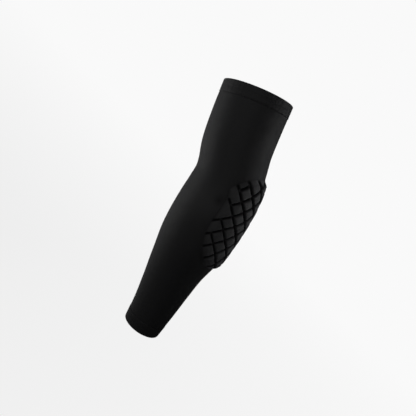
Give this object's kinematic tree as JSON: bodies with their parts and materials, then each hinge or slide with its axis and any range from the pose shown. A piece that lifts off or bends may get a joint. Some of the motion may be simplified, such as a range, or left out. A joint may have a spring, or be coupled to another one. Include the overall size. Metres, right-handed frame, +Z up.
{
  "type": "padded elbow sleeve",
  "caption": "Black knitted compression sleeve shaped from upper arm to wrist, with turned hems and a foam pad of raised diamond cells over the elbow.",
  "frame": {"origin": "on the upper arm's axis at the fold of the elbow, where the sleeve sits on the arm", "axes": "+Z up the upper arm towards its top edge, +X out through the middle of the elbow pad"},
  "size_m": [0.1222, 0.1153, 0.3567],
  "materials": {
    "knit": "matte black stretch knit with a faint sheen",
    "hem": "matte black stretch knit, turned double and stitched",
    "pad": "matte black woven face over pressed foam"
  },
  "bodies": {
    "root": {"sleeve_body": "knit", "upper_hem": "hem", "wrist_hem": "hem", "elbow_pad": "pad"}
  },
  "joints": []
}
